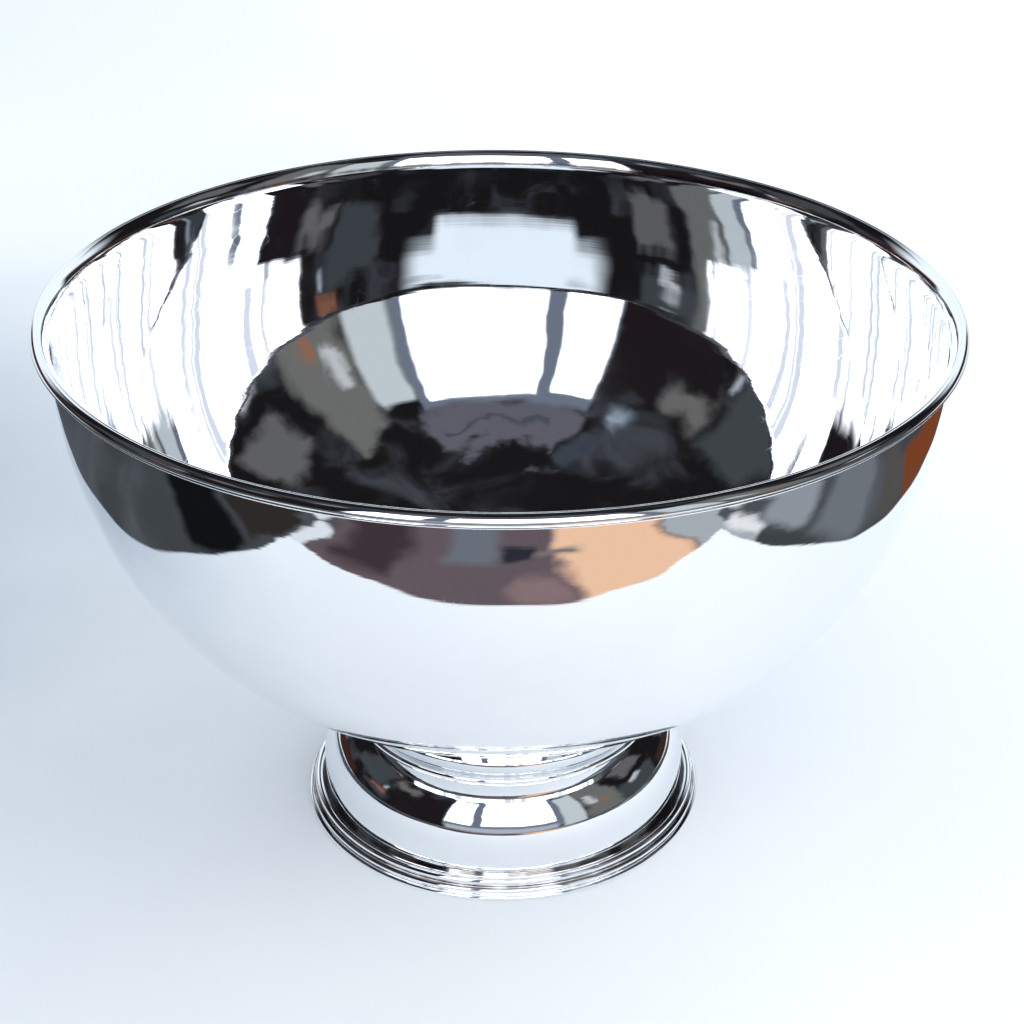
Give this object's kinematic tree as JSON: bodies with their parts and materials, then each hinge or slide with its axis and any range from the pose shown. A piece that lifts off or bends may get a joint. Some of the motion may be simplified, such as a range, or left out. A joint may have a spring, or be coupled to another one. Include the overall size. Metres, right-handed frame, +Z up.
{
  "type": "punch bowl",
  "caption": "Large round footed punch bowl in mirror-polished silver-coloured metal, with a half-oval wire rim, a short hollow neck and a domed foot with a reeded base.",
  "frame": {"origin": "centre of the base ring's underside, on the table", "axes": "+Z up along the bowl's axis"},
  "size_m": [0.4499, 0.45, 0.289],
  "materials": {
    "silver_bowl": "mirror-polished silver plate, faint spinning lines and slight ripples",
    "silver_foot": "mirror-polished silver plate",
    "silver_border": "polished silver-plated wire, slightly dark in the grooves",
    "fixing_brass": "turned and pressed brass, dull, slightly tarnished",
    "spring_steel": "oiled spring steel"
  },
  "bodies": {
    "root": {"bowl_shell": "silver_bowl", "rim_wire": "silver_border", "rim_reed": "silver_border", "neck_collar": "silver_foot", "neck_bead": "silver_border", "foot_dome": "silver_foot", "foot_upper_reed": "silver_border", "foot_lower_reed": "silver_border", "base_ring": "silver_border", "stud_plate": "fixing_brass", "fixing_stud": "fixing_brass", "spreader_plate": "fixing_brass", "spring_washer": "spring_steel", "fixing_nut": "fixing_brass"}
  },
  "joints": []
}
